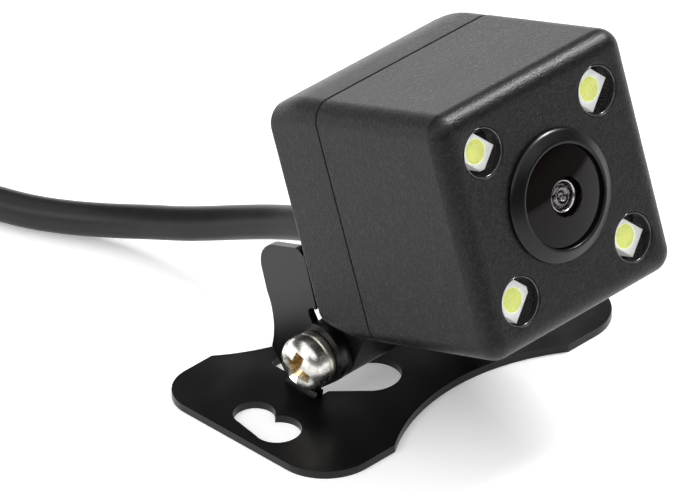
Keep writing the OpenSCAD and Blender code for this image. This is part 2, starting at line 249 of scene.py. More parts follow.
@dataclass(frozen=True)
class GrainedPlastic:
    """Black moulded plastic with a fine spark-eroded grain."""

    name: str
    colour: Colour = (0.003, 0.003, 0.0031)
    roughness: float = 0.36
    ior: float = 1.3
    grain_mm: float = 0.2
    grain_depth_mm: float = 0.06
    sparkle: float = 0.9

    def build(self) -> bpy.types.Material:
        """Make the material."""
        sheet = ShaderSheet(self.name)
        fine = sheet.noise(self.grain_mm, 2.0, 0.6)
        coarse = sheet.noise(self.grain_mm * 2.6, 2.0)
        cloud = sheet.noise(6.0, 2.0)
        grain = fine * 0.65 + coarse * 0.35
        light = tuple(c * 2.2 + 0.012 for c in self.colour)
        colour = sheet.mix(grain.ramp(0.42, 0.68, 0.0, 0.85) + cloud * 0.1, self.colour, light)
        glint = fine.ramp(0.56, 0.72, 0.0, self.sparkle * 0.22)
        rough = (self.roughness + cloud * 0.06) - glint
        normal = sheet.bump(grain, self.grain_depth_mm)
        return sheet.coat(base_color=colour, roughness=rough, normal=normal, ior=self.ior)


@dataclass(frozen=True)
class SmoothPlastic:
    """Moulded plastic with faint flow marks, matt or glossy."""

    name: str
    colour: Colour
    roughness: float = 0.4
    ripple_mm: float = 0.8
    depth_mm: float = 0.004
    mottle: float = 0.25
    # glow: a painted glow, emission that makes the part look more brightly lit than the lamps make it
    glow: float = 0.0
    ior: float = 1.36

    def build(self) -> bpy.types.Material:
        """Make the material."""
        sheet = ShaderSheet(self.name)
        ripple = sheet.noise(self.ripple_mm, 3.0)
        dust = sheet.noise(0.12, 2.0)
        darker = tuple(c * (1 - self.mottle) for c in self.colour)
        colour = sheet.mix(ripple.ramp(0.3, 0.7), darker, self.colour)
        rough = self.roughness + (dust - 0.5) * 0.12
        normal = sheet.bump(ripple * 0.6 + dust * 0.4, self.depth_mm)
        # Painted light: the part glows in its own colour, as if more light fell on it.
        painted_glow = {"emission_color": colour, "emission_strength": self.glow} if self.glow else {}
        return sheet.coat(base_color=colour, roughness=rough, normal=normal, ior=self.ior, **painted_glow)


@dataclass(frozen=True)
class PowderCoat:
    """Semi-gloss black coating on sheet steel, with orange peel and a few rubbed specks."""

    name: str = "bracket_coat"
    colour: Colour = (0.0015, 0.0015, 0.0017)
    rubbed: Colour = (0.03, 0.029, 0.028)
    roughness: float = 0.3
    ior: float = 1.4

    def build(self) -> bpy.types.Material:
        """Make the material."""
        sheet = ShaderSheet(self.name)
        peel = sheet.noise(0.5, 2.0)
        dust = sheet.noise(0.09, 3.0)
        specks = dust.ramp(0.68, 0.78)
        haze = sheet.noise(5.0, 3.0).ramp(0.4, 0.75)
        colour = sheet.mix(specks * 0.5 + haze * 0.06, self.colour, self.rubbed)
        rough = self.roughness + haze * 0.08 + specks * 0.15
        normal = sheet.bump(peel * 0.8 + dust * 0.2, 0.006)
        return sheet.coat(base_color=colour, roughness=rough, normal=normal, ior=self.ior)


@dataclass(frozen=True)
class Plated:
    """Bright nickel plate with rolling marks, darker in its recess."""

    name: str
    colour: Colour = (0.78, 0.76, 0.72)
    stain: Colour = (0.5, 0.36, 0.17)
    roughness: float = 0.2
    recess: tuple[float, float] | None = None
    recess_r_mm: float = 1.95
    recess_end_mm: float = -13.45

    def build(self) -> bpy.types.Material:
        """Make the material; recess is the hinge axis's Y and Z, in metres, where a stained cross is."""
        sheet = ShaderSheet(self.name)
        marks = sheet.noise(0.35, 4.0, 0.65)
        pits = sheet.noise(0.1, 2.0)
        colour = sheet.mix(marks.ramp(0.35, 0.75), self.colour, tuple(c * 0.72 for c in self.colour))
        if self.recess is not None:
            x, y, z = sheet.axes()
            dy, dz = y - self.recess[0], z - self.recess[1]
            from_axis = (dy * dy + dz * dz).root()
            inside = from_axis.ramp(self.recess_r_mm * 0.8 * MM, self.recess_r_mm * MM, 1.0, 0.0)
            deep = (x > self.recess_end_mm * MM) * inside
            colour = sheet.mix(deep * 0.85, colour, self.stain)
        rough = self.roughness + marks * 0.14
        normal = sheet.bump(marks * 0.6 + pits * 0.4, 0.006)
        return sheet.coat(base_color=colour, metallic=1.0, roughness=rough, normal=normal)


@dataclass(frozen=True)
class Jacket:
    """Satin black lead jacket with a faint extruded grain."""

    name: str = "lead_jacket"
    colour: Colour = (0.002, 0.002, 0.0022)
    worn: Colour = (0.006, 0.006, 0.0063)
    roughness: float = 0.4
    ior: float = 1.4

    def build(self) -> bpy.types.Material:
        """Make the material."""
        sheet = ShaderSheet(self.name)
        soft = sheet.noise(1.2, 3.0)
        dust = sheet.noise(0.1, 2.0)
        colour = sheet.mix(soft.ramp(0.3, 0.7) * 0.5 + dust * 0.2, self.colour, self.worn)
        rough = self.roughness + (soft - 0.5) * 0.16
        normal = sheet.bump(soft * 0.5 + dust * 0.5, 0.007)
        return sheet.coat(base_color=colour, roughness=rough, normal=normal, ior=self.ior)


class Clarity(Enum):
    """How much of a glass is glossy body; the rest shows what is behind it."""

    CLEAR = 0.08
    SMOKED = 0.18


@dataclass(frozen=True)
class CoatedGlass:
    """Polished glass that shows what is behind it under a coated reflection."""

    name: str
    clarity: Clarity = Clarity.SMOKED
    tint: Colour = (0.6, 0.58, 0.6)
    body: Colour = (0.004, 0.004, 0.005)
    ior: float = 1.6
    smudge: float = 0.03
    axis: Point3 | None = None
    # pupil_mm: the clear middle; outside it the glass carries painted shade
    pupil_mm: float = 1.75
    spread: float = 0.03

    def build(self) -> bpy.types.Material:
        """Make the material; axis is (Y share, Z share, height) of the level the lens axis is on, and farther
        than pupil_mm from that axis the glass is painted opaque glossy black, a painted shade standing in for
        the dark inside of the barrel.
        """
        sheet = ShaderSheet(self.name)
        haze = sheet.noise(1.5, 3.0)
        clear = sheet.node("ShaderNodeBsdfTransparent", {}, {"Color": self.tint})
        gloss = sheet.surface(base_color=self.body, roughness=0.03 + haze * self.smudge, ior=self.ior)
        glossy = self.clarity.value
        share = haze.ramp(0.2, 0.8, glossy - self.spread, glossy + self.spread)
        # Painted shade: beyond pupil_mm from the lens axis the glass turns fully glossy black instead of
        # showing the barrel behind it.
        if self.axis is not None:
            x, y, z = sheet.axes()
            level = y * self.axis[0] + z * self.axis[1] - self.axis[2]
            out = (x * x + level * level).root()
            share = share + out.ramp(self.pupil_mm * MM, self.pupil_mm * 1.15 * MM) * (1.0 - glossy)
        return sheet.finish(sheet.node("ShaderNodeMixShader", {}, {0: share, 1: clear, 2: gloss}))


@dataclass(frozen=True)
class Phosphor:
    """Yellow lamp phosphor: cast silicone full of fine powder, paler in blotches, with a painted glow that
    brightens the unlit phosphor.
    """

    name: str = "lamp_phosphor"
    colour: Colour = (0.74, 0.8, 0.12)
    pale: Colour = (0.9, 0.93, 0.45)
    # glow: a painted glow, emission that brightens the unlit phosphor as if more light fell on it
    glow: float = 0.4

    def build(self) -> bpy.types.Material:
        """Make the material."""
        sheet = ShaderSheet(self.name)
        powder = sheet.noise(0.12, 4.0, 0.7)
        colour = sheet.mix(powder.ramp(0.35, 0.75), self.colour, self.pale)
        normal = sheet.bump(powder, 0.01)
        # Painted light: the emission makes the unlit phosphor glow.
        return sheet.coat(
            base_color=colour, roughness=0.45 + powder * 0.1, normal=normal,
            emission_color=colour, emission_strength=self.glow)


@dataclass(frozen=True)
class SolderMask:
    """Circuit board lacquer over copper tracks."""

    name: str
    colour: Colour
    track: Colour
    rows_a_metre: float = 420.0

    def build(self) -> bpy.types.Material:
        """Make the material."""
        sheet = ShaderSheet(self.name)
        inputs = {"Vector": sheet.where, "Scale": self.rows_a_metre}
        rows = sheet.node("ShaderNodeTexBrick", {}, inputs, "Fac")
        dust = sheet.noise(0.15, 2.0)
        colour = sheet.mix(rows * 0.7, self.colour, self.track)
        normal = sheet.bump(rows * 0.8 + dust * 0.2, 0.02)
        return sheet.coat(base_color=colour, roughness=0.25 + dust * 0.12, normal=normal)


@dataclass(frozen=True)
class WireColours:
    """Four insulated cores, told apart by where they lie along X."""

    name: str = "core_insulation"
    pitch_mm: float = 1.1
    first: Colour = (0.45, 0.03, 0.03)
    others: tuple[Colour, ...] = ((0.012, 0.012, 0.012), (0.62, 0.5, 0.05), (0.6, 0.6, 0.58))

    def build(self) -> bpy.types.Material:
        """Make the material."""
        sheet = ShaderSheet(self.name)
        x, _, _ = sheet.axes()
        colour = self.first
        for step, other in enumerate(self.others, -1):
            colour = sheet.mix(x > step * self.pitch_mm * MM, colour, other)
        scuff = sheet.noise(0.3, 3.0)
        return sheet.coat(base_color=colour, roughness=0.35 + scuff * 0.15, normal=sheet.bump(scuff, 0.004))


@dataclass(frozen=True)
class StudioFloor:
    """Pale matt paper under the object."""

    name: str = "floor_paper"
    shade: float = 0.96
    glow: float = 0.3

    def build(self) -> bpy.types.Material:
        """Make the material."""
        sheet = ShaderSheet(self.name)
        fibre = sheet.noise(40.0, 2.0)
        low = (self.shade - 0.01, self.shade - 0.01, self.shade - 0.008)
        colour = sheet.mix(fibre, low, (self.shade, self.shade, self.shade))
        return sheet.coat(
            base_color=colour, roughness=0.9, specular_ior_level=0.1,
            emission_color=colour, emission_strength=self.glow)


class Rack:
    """Every finish, made once and shared by the pieces that wear it."""

    def __init__(self, hinge: Vector, lens: Point3) -> None:
        """Make the materials.

        Args:
            hinge: a point on the tilt axis, in metres.
            lens: the Y share, Z share and height, in metres, of the level that the lens axis is on.
        """
        axis = (hinge.y, hinge.z)
        self.housing = GrainedPlastic("housing_grain").build()
        self.ring = SmoothPlastic("ring_satin", (0.002, 0.002, 0.0023), 0.3, 0.5, 0.003).build()
        self.barrel = SmoothPlastic("barrel_black", (0.001, 0.001, 0.001), 0.3, 0.5, 0.002).build()
        self.inner_rim = Plated("element_rim", (0.8, 0.8, 0.82), roughness=0.12).build()
        # The front glass carries painted shade: away from the lens axis it is opaque glossy black.
        self.glass = CoatedGlass(
            "front_element", Clarity.CLEAR, (0.94, 0.92, 0.93), (0.004, 0.0022, 0.0022),
            ior=1.24, smudge=0.01, axis=lens).build()
        self.element = SmoothPlastic("inner_element", (0.012, 0.007, 0.009), 0.1, 0.6, 0.0, ior=2.8).build()
        self.window = CoatedGlass("lamp_window", Clarity.CLEAR, (0.98, 0.98, 0.98)).build()
        self.filter = CoatedGlass(
            "filter_glass", Clarity.SMOKED, (0.75, 0.25, 0.32), (0.2, 0.02, 0.05)).build()
        self.coat = PowderCoat().build()
        self.plated = Plated("screw_nickel", recess=axis).build()
        self.washer = Plated("washer_nickel", (0.72, 0.68, 0.6), roughness=0.24).build()
        self.gold = Plated("pin_gold", (0.92, 0.66, 0.28), roughness=0.18).build()
        self.jacket = Jacket().build()
        self.rubber = SmoothPlastic("soft_rubber", (0.006, 0.006, 0.006), 0.6, 0.6, 0.006).build()
        self.red_seal = SmoothPlastic("red_seal", (0.42, 0.05, 0.035), 0.5, 0.5, 0.005).build()
        self.window_edge = SmoothPlastic("window_edge", (0.02, 0.02, 0.02), 0.08, 0.5, 0.001, ior=1.7).build()
        # The lamp case's glow of 0.35 is painted light that brightens the unlit white package.
        self.white = SmoothPlastic("lamp_case", (0.9, 0.92, 0.88), 0.4, 0.5, 0.004, 0.06, 0.35).build()
        self.cream = SmoothPlastic("socket_nylon", (0.72, 0.68, 0.55), 0.42, 0.6, 0.004).build()
        self.nylon = SmoothPlastic("tie_nylon", (0.008, 0.008, 0.009), 0.38, 0.6, 0.004).build()
        self.chip = SmoothPlastic("sensor_die", (0.035, 0.05, 0.07), 0.12, 0.9, 0.001).build()
        self.phosphor = Phosphor().build()
        self.board = SolderMask("main_lacquer", (0.012, 0.13, 0.045), (0.05, 0.3, 0.12)).build()
        self.lamp_board = SolderMask("lamp_lacquer", (0.012, 0.012, 0.013), (0.045, 0.045, 0.05)).build()
        self.cores = WireColours().build()


# ---------------------------------------------------------------- mesh building


def arc(centre: Point, radius: float, start: float, end: float, steps: int = 8) -> list[Point]:
    """Points along an arc, in degrees, both ends included."""
    turn = (math.radians(start + (end - start) * i / steps) for i in range(steps + 1))
    return [(centre[0] + radius * math.cos(a), centre[1] + radius * math.sin(a)) for a in turn]


def rounded(width: float, height: float, radius: float, steps: int = 10) -> list[Point]:
    """A rectangle about the origin with rounded corners."""
    x, y = width / 2 - radius, height / 2 - radius
    corners = ((x, y, 0), (-x, y, 90), (-x, -y, 180), (x, -y, 270))
    return [p for cx, cy, a in corners for p in arc((cx, cy), radius, a, a + 90, steps)]


def circle(radius: float, steps: int = 64, centre: Point = (0.0, 0.0)) -> list[Point]:
    """Points round a whole circle."""
    return arc(centre, radius, 0, 360, steps)[:-1]


def eased(points: Sequence[Point], radius: float, steps: int = 3) -> list[Point]:
    """Round every inner corner of an open profile by an arc-like curve.

    Args:
        points: the profile's corners, in order.
        radius: how far along each side the rounding reaches, at most.
        steps: pieces in each rounding.

    Returns:
        The profile with its corners rounded and its two ends kept.
    """
    made = [points[0]]
    for before, corner, after in zip(points, points[1:], points[2:]):
        a, b, c = Vector(before), Vector(corner), Vector(after)
        reach = min(radius, (a - b).length * 0.45, (c - b).length * 0.45)
        first, last = b + (a - b).normalized() * reach, b + (c - b).normalized() * reach
        for i in range(steps + 1):
            t = i / steps
            made.append(tuple(first * (1 - t) ** 2 + b * 2 * t * (1 - t) + last * t**2))
    return [*made, points[-1]]


class Shell:
    """A mesh that grows ring by ring, in millimetres."""

    def __init__(self) -> None:
        """Start with an empty mesh."""
        self.bm = bmesh.new()

    def ring(self, points: Iterable[Sequence[float]]) -> list[bmesh.types.BMVert]:
        """Add a ring of points."""
        return [self.bm.verts.new(p) for p in points]

    def bridge(self, first: list[bmesh.types.BMVert], second: list[bmesh.types.BMVert]) -> None:
        """Join two rings of the same number of points by quads."""
        n = len(first)
        for i in range(n):
            j = (i + 1) % n
            self.bm.faces.new((first[i], first[j], second[j], second[i]))

    def stack(self, rings: Sequence[Sequence[Sequence[float]]]) -> list[list[bmesh.types.BMVert]]:
        """Add rings and join each to the next, and return their points."""
        made = [self.ring(r) for r in rings]
        for a, b in zip(made, made[1:]):
            self.bridge(a, b)
        return made

    def cap(self, *rings: list[bmesh.types.BMVert]) -> None:
        """Fill the flat region between an outer ring and any inner ones."""
        edges = []
        for ring in rings:
            for a, b in zip(ring, [*ring[1:], ring[0]]):
                edges.append(self.bm.edges.get((a, b)) or self.bm.edges.new((a, b)))
        bmesh.ops.triangle_fill(self.bm, edges=edges, use_beauty=True, use_dissolve=False)

    def lathe(self, profile: Sequence[Point], steps: int = 72) -> None:
        """Turn a profile of (radius, depth) round the Y axis.

        Args:
            profile: from one end to the other; a radius of 0 closes an end, and a profile that starts
                where it ends is a closed loop.
            steps: how many sides the turn has.
        """
        closed = profile[0] == profile[-1] and profile[0][0] > 0
        rings: list[list[bmesh.types.BMVert]] = []
        for radius, depth in profile[:-1] if closed else profile:
            if radius <= ON_AXIS:
                rings.append(self.ring([(0.0, depth, 0.0)]))
                continue
            turn = [2 * math.pi * i / steps for i in range(steps)]
            rings.append(self.ring((radius * math.cos(a), depth, radius * math.sin(a)) for a in turn))
        pairs = list(zip(rings, rings[1:])) + ([(rings[-1], rings[0])] if closed else [])
        for a, b in pairs:
            if len(a) == 1 or len(b) == 1:
                tip, rim = (a[0], b) if len(a) == 1 else (b[0], a)
                for i, vert in enumerate(rim):
                    self.bm.faces.new((vert, rim[(i + 1) % len(rim)], tip))
            else:
                self.bridge(a, b)

    def prism(
        self, outline: Sequence[Point], holes: Sequence[Sequence[Point]], low: float, high: float,
        place: Callable[[float, float, float], Point3], soft: float = 0.12, steps: int = 3,
    ) -> None:
        """Extrude a flat outline with holes, with every rim rounded.

        Args:
            outline: the outer points, anticlockwise.
            holes: the points of each hole, clockwise.
            low: where the extrusion starts.
            high: where it ends.
            place: puts (u, v, depth) into the piece's own axes.
            soft: radius of the rounded rims.
            steps: pieces in each rounding.
        """
        firsts, lasts = [], []
        for loop in (outline, *holes):
            rings = []
            for i in range(steps + 1):
                a = math.pi / 2 * i / steps
                rings.append((inset(loop, soft * (1 - math.sin(a))), low + soft * (1 - math.cos(a))))
            rings += [(points, high - (depth - low)) for points, depth in reversed(rings)]
            stack = self.stack([[place(u, v, depth) for u, v in points] for points, depth in rings])
            firsts.append(stack[0])
            lasts.append(stack[-1])
        self.cap(*firsts)
        self.cap(*lasts)

    def piece(
        self, name: str, material: bpy.types.Material, place: Matrix | None = None, sharp: float = 38.0
    ) -> bpy.types.Object:
        """Finish the mesh: merged, facing outwards, smooth but for sharp edges, in metres.

        Args:
            name: the piece's name.
            material: what it wears.
            place: turns its own axes into the row frame, still in millimetres.
            sharp: edges steeper than this, in degrees, stay sharp.

        Returns:
            The new object, with its place in its mesh.
        """
        bmesh.ops.remove_doubles(self.bm, verts=self.bm.verts, dist=MERGE)
        bmesh.ops.recalc_face_normals(self.bm, faces=self.bm.faces)
        if place is not None:
            bmesh.ops.transform(self.bm, matrix=place, verts=self.bm.verts)
        bmesh.ops.scale(self.bm, vec=(MM, MM, MM), verts=self.bm.verts)
        mesh = bpy.data.meshes.new(name)
        self.bm.to_mesh(mesh)
        self.bm.free()
        return add_object(name, mesh, material, sharp)


def inset(loop: Sequence[Point], distance: float) -> list[Point]:
    """Move each point of a closed loop to its left by distance, so an anticlockwise loop shrinks."""
    made = []
    n = len(loop)
    for i, here in enumerate(loop):
        a, b, c = Vector(loop[i - 1]), Vector(here), Vector(loop[(i + 1) % n])
        first, second = (b - a).normalized(), (c - b).normalized()
        left = Vector((-first.y - second.y, first.x + second.x))
        if left.length < 1e-6:
            left = Vector((-first.y, first.x))
        left.normalize()
        lean = max(0.5, left.dot(Vector((-first.y, first.x))))
        made.append(tuple(b + left * (distance / lean)))
    return made


def turned(
    name: str, profile: Sequence[Point], material: bpy.types.Material, place: Matrix | None = None,
    steps: int = 72, sharp: float = 38.0,
) -> bpy.types.Object:
    """A piece turned round its own Y axis, with the arguments of Shell.lathe and Shell.piece."""
    shell = Shell()
    shell.lathe(profile, steps)
    return shell.piece(name, material, place, sharp)


def add_object(
    name: str, mesh: bpy.types.Mesh, material: bpy.types.Material, sharp: float
) -> bpy.types.Object:
    """Put a finished mesh into the scene with one material and smooth faces."""
    mesh.materials.clear()
    mesh.materials.append(material)
    mesh.polygons.foreach_set("use_smooth", [True] * len(mesh.polygons))
    mesh.set_sharp_from_angle(angle=math.radians(sharp))
    made = bpy.data.objects.new(name, mesh)
    bpy.context.scene.collection.objects.link(made)
    weighted = made.modifiers.new("face_normals", "WEIGHTED_NORMAL")
    weighted.keep_sharp = True
    return made


def attach(
    piece: bpy.types.Object, body: str, replaces: Sequence[str] = (), slot: str | None = None
) -> bpy.types.Object:
    """Make a piece ride on its body and stand for CAD nodes, which it hides."""
    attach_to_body(piece, body)
    if replaces:
        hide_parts(*replaces)
    LOG.info("%s rides on %s and has %d faces", piece.name, body, len(piece.data.polygons))
    return piece


def softened(
    node: str, name: str, material: bpy.types.Material, soft_mm: float, steps: int = 2
) -> bpy.types.Object:
    """Copy a CAD node, join its loose triangles and round its edges.

    Args:
        node: the CAD node's name.
        name: the new piece's name.
        material: what it wears.
        soft_mm: radius of its edges.
        steps: pieces in each rounding.

    Returns:
        The new piece.
    """
    bm = bmesh.new()
    bm.from_mesh(frame["nodes"][node].data)
    bmesh.ops.remove_doubles(bm, verts=bm.verts, dist=2e-6)
    bmesh.ops.dissolve_limit(bm, angle_limit=math.radians(1.0), verts=bm.verts, edges=bm.edges)
    steep = [e for e in bm.edges if len(e.link_faces) == 2 and e.calc_face_angle(0) > math.radians(32)]
    bmesh.ops.bevel(
        bm, geom=steep, offset=soft_mm * MM, segments=steps, profile=0.5, affect="EDGES", clamp_overlap=True
    )
    bmesh.ops.recalc_face_normals(bm, faces=bm.faces)
    mesh = bpy.data.meshes.new(name)
    bm.to_mesh(mesh)
    bm.free()
    return add_object(name, mesh, material, 50.0)


# ---------------------------------------------------------------- geometry nodes


class Rig:
    """A Geometry Nodes tree with named inputs, run once on an object."""

    def __init__(self, name: str) -> None:
        """Start an empty tree with a geometry input and output."""
        self.tree = bpy.data.node_groups.new(name, "GeometryNodeTree")
        self.inputs: dict[str, bpy.types.NodeTreeInterfaceSocket] = {}
        self.tree.interface.new_socket("Geometry", in_out="INPUT", socket_type="NodeSocketGeometry")
        self.tree.interface.new_socket("Geometry", in_out="OUTPUT", socket_type="NodeSocketGeometry")

    def value(self, name: str, kind: str) -> None:
        """Add a named input of a kind such as NodeSocketFloat."""
        self.inputs[name] = self.tree.interface.new_socket(name, in_out="INPUT", socket_type=kind)

    def start(self) -> bpy.types.Node:
        """Add the node that holds the inputs."""
        return self.tree.nodes.new("NodeGroupInput")

    def node(self, kind: str, inputs: dict[str | int, object], **settings: object) -> bpy.types.Node:
        """Add a node, set its properties and feed its sockets."""
        made = self.tree.nodes.new(kind)
        for key, value in settings.items():
            setattr(made, key, value)
        for key, value in inputs.items():
            if isinstance(value, bpy.types.NodeSocket):
                self.tree.links.new(value, made.inputs[key])
            else:
                made.inputs[key].default_value = value
        return made

    def finish(self, geometry: bpy.types.NodeSocket, material: bpy.types.Material) -> None:
        """End the tree in Realize Instances and Set Material."""
        self.material = material
        real = self.node("GeometryNodeRealizeInstances", {0: geometry})
        smooth = self.node("GeometryNodeSetShadeSmooth", {0: real.outputs[0]})
        dressed = self.node("GeometryNodeSetMaterial", {0: smooth.outputs[0], "Material": material})
        end = self.tree.nodes.new("NodeGroupOutput")
        self.tree.links.new(dressed.outputs[0], end.inputs[0])

    def run(
        self, name: str, mesh: bpy.types.Mesh, values: dict[str, object], sharp: float = 38.0
    ) -> bpy.types.Object:
        """Run the tree on a mesh.

        Args:
            name: the new piece's name.
            mesh: what the tree starts from.
            values: the value of each named input.
            sharp: edges steeper than this, in degrees, stay sharp.

        Returns:
            A plain mesh object, with no modifier of this tree.
        """
        seed = bpy.data.objects.new(name + "_seed", mesh)
        bpy.context.scene.collection.objects.link(seed)
        modifier = seed.modifiers.new("rig", "NODES")
        modifier.node_group = self.tree
        for key, value in values.items():
            modifier[self.inputs[key].identifier] = value
        seed.update_tag()
        view = bpy.context.evaluated_depsgraph_get()
        made = bpy.data.meshes.new_from_object(seed.evaluated_get(view))
        bpy.data.objects.remove(seed)
        made.name = name
        return add_object(name, made, self.material, sharp)


def points_mesh(name: str, points: Sequence[Sequence[float]], joined: bool = False) -> bpy.types.Mesh:
    """A mesh of bare points, in millimetres, joined into one line if asked."""
    mesh = bpy.data.meshes.new(name)
    edges = [(i, i + 1) for i in range(len(points) - 1)] if joined else []
    mesh.from_pydata([tuple(c * MM for c in p) for p in points], edges, [])
    return mesh


def sweep(
    name: str, path: Sequence[Sequence[float]], radius: float, material: bpy.types.Material
) -> bpy.types.Object:
    """Sweep a round section along a path, with closed ends.

    Args:
        name: the piece's name.
        path: the points to follow, in millimetres.
        radius: the section's radius, in millimetres.
        material: what it wears.

    Returns:
        The tube.
    """
    rig = Rig("sweep_round")
    rig.value("Radius", "NodeSocketFloat")
    start = rig.start()
    line = rig.node("GeometryNodeMeshToCurve", {"Mesh": start.outputs[0]})
    round_inputs = {"Resolution": 20, "Radius": start.outputs["Radius"]}
    section = rig.node("GeometryNodeCurvePrimitiveCircle", round_inputs)
    tube = rig.node(
        "GeometryNodeCurveToMesh",
        {"Curve": line.outputs[0], "Profile Curve": section.outputs[0], "Fill Caps": True},
    )
    rig.finish(tube.outputs[0], material)
    return rig.run(name, points_mesh(name, path, joined=True), {"Radius": radius * MM}, 60.0)


# ---------------------------------------------------------------- camera and stage


@dataclass
class Studio:
    """The camera, the lamps and the floor."""

    azimuth: float = -43.352
    elevation: float = 32.873
    roll: float = -1.842
    eye: Point3 = (-0.43572, -0.45530, 0.41910)
    lens: float = 415.74
    floor_half: float = 3.0
    target: Point3 = (0.0, -0.005, 0.02)

    def camera(self) -> None:
        """Make the camera at its viewing angle."""
        a, e = math.radians(self.azimuth), math.radians(self.elevation)
        back = Vector((math.sin(a) * math.cos(e), -math.cos(a) * math.cos(e), math.sin(e)))
        turn = (-back).to_track_quat("-Z", "Y").to_matrix().to_4x4()
        data = bpy.data.cameras.new("view")
        data.lens = self.lens
        data.sensor_width = 36.0
        data.clip_start, data.clip_end = 0.01, 20.0
        eye = bpy.data.objects.new("view", data)
        rolled = Matrix.Rotation(math.radians(self.roll), 4, "Z")
        eye.matrix_world = Matrix.Translation(self.eye) @ turn @ rolled
        bpy.context.scene.collection.objects.link(eye)
        bpy.context.scene.camera = eye

    def lamp(
        self, name: str, at: Sequence[float], aim: Sequence[float], size: tuple[float, float], power: float,
        mirrored_only: bool = False,
    ) -> None:
        """Add a soft box.

        Args:
            name: its name.
            at: where it is.
            aim: what it points at.
            size: its width and height.
            power: its power, in watts.
            mirrored_only: whether it only shows as a highlight.
        """
        data = bpy.data.lights.new(name, "AREA")
        data.shape = "RECTANGLE"
        data.size, data.size_y = size
        data.energy = power
        made = bpy.data.objects.new(name, data)
        made.location = at
        made.visible_diffuse = not mirrored_only
        made.rotation_euler = (Vector(aim) - Vector(at)).to_track_quat("-Z", "Y").to_euler()
        bpy.context.scene.collection.objects.link(made)

    def build(self) -> None:
        """Make the camera, lamps, world and floor."""
        self.camera()
        self.lamp("overhead", (-0.35, -0.3, 0.95), (-0.35, -0.3, 0.0), (1.8, 1.8), 15.0)
        self.lamp("left_side", (-1.0, 0.1, 0.6), self.target, (0.5, 0.5), 3.0)
        self.lamp("edge_light", (0.63, -0.1, 0.9), self.target, (0.36, 0.36), 7.5)
        self.lamp("edge_glint", (0.62, -0.1, 0.89), self.target, (0.3, 0.2), 14.0, mirrored_only=True)
        WorldSheet("studio").build()
        mesh = bpy.data.meshes.new("floor")
        h = self.floor_half
        mesh.from_pydata([(-h, -h, 0), (h, -h, 0), (h, h, 0), (-h, h, 0)], [], [(0, 1, 2, 3)])
        mesh.materials.append(StudioFloor().build())
        floor = bpy.data.objects.new("floor", mesh)
        bpy.context.scene.collection.objects.link(floor)
        bpy.context.scene.view_settings.view_transform = "Standard"


# ---------------------------------------------------------------- the lead


@dataclass
class Lead:
    """The lead: its free run, its wound turns and its tail, as one cord."""

    radius: float = 1.7
    route: list[Point3] = field(default_factory=lambda: [
        (0, 9, 10.5), (0, 14, 8.6), (-0.4, 17.3, 7.4), (-1, 20.4, 6.25), (-1.7, 23, 5.35), (-2.6, 25.8, 4.5),
        (-3.8, 30, 3.4), (-5.5, 34.3, 2.5), (-7.3, 38.3, 2), (-8.9, 42.2, 1.8), (-10.5, 47.2, 1.8),
        (-12.6, 53.4, 1.8), (-15, 60.2, 1.9), (-17.4, 67, 2.1), (-19.8, 74, 2.2)])
    coil_at: tuple[float, float] = (-3.0, 88.0)
    coil_r: float = 18.75
    pitch: float = 3.42
    low_z: float = 2.2
    enters: float = 198.8
    leaves: float = 115.0
    whole_turns: int = 3
    steps_a_turn: int = 90
    shift_arc: float = 45.0
    shift_lead: float = 10.0
    tail: list[Point3] = field(default_factory=lambda: [
        (-7, 109.2, 5.6), (-2.5, 111.4, 5.6), (3, 112, 5.6)])

    def smoothed(self, points: Sequence[Sequence[float]], step: float = 0.8) -> list[Vector]:
        """A smooth curve through the points, with a point about every step millimetres."""
        ctrl = [Vector(p) for p in points]
        ctrl = [ctrl[0] * 2 - ctrl[1], *ctrl, ctrl[-1] * 2 - ctrl[-2]]
        made = []
        for a, b, c, d in zip(ctrl, ctrl[1:], ctrl[2:], ctrl[3:]):
            n = max(2, round((c - b).length / step))
            for i in range(n):
                t = i / n
                made.append(0.5 * (2 * b + (c - a) * t + (2 * a - 5 * b + 4 * c - d) * t**2
                                   + (3 * b - a - 3 * c + d) * t**3))
        return [*made, ctrl[-2]]

    def turns(self) -> list[Vector]:
        """The wound turns: two beside each other below, then two on top of them."""
        outer, inner = self.coil_r + self.pitch / 2, self.coil_r - self.pitch / 2
        low, high = self.low_z, self.low_z + self.pitch
        cells = [(outer, low), (inner, low), (inner, high), (outer, high)]
        total = 360 * self.whole_turns + (self.enters - self.leaves)
        made = []
        count = round(total / 360 * self.steps_a_turn)
        for i in range(count + 1):
            gone = total * i / count
            turn = min(int(gone // 360), len(cells) - 1)
            (r0, z0), (r1, z1) = cells[turn], cells[min(turn + 1, len(cells) - 1)]
            start = 360 - self.shift_lead - self.shift_arc * (turn + 1)
            t = min(1.0, max(0.0, (gone - 360 * turn - start) / self.shift_arc))
            t = t * t * (3 - 2 * t)
            angle = math.radians(self.enters - gone)
            r, z = r0 + (r1 - r0) * t, z0 + (z1 - z0) * t
            x, y = self.coil_at[0] + r * math.cos(angle), self.coil_at[1] + r * math.sin(angle)
            made.append(Vector((x, y, z)))
        return made

    def path(self) -> list[Vector]:
        """The whole centreline, from inside the strain relief to inside the plug."""
        turns = self.turns()
        first = self.smoothed([*self.route, tuple(turns[0])])
        return [*first[:-1], *turns[:-1], *self.smoothed([tuple(turns[-1]), *self.tail])]

    def build(self, rack: Rack, with_pieces: Sequence[bpy.types.Object]) -> None:
        """Make the cord and say how long it is."""
        path = self.path()
        cord = sweep("lead", path, self.radius, rack.jacket)
        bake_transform(cord)
        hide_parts("lead_cable", "lead_coil", "lead_tail")
        length = sum((b - a).length for a, b in zip(path, path[1:])) * MM
        tuple(path[0] * MM)
        [tuple(p * MM) for p in path]
        LOG.info("lead is %.3f m long", length)


# ---------------------------------------------------------------- the plug


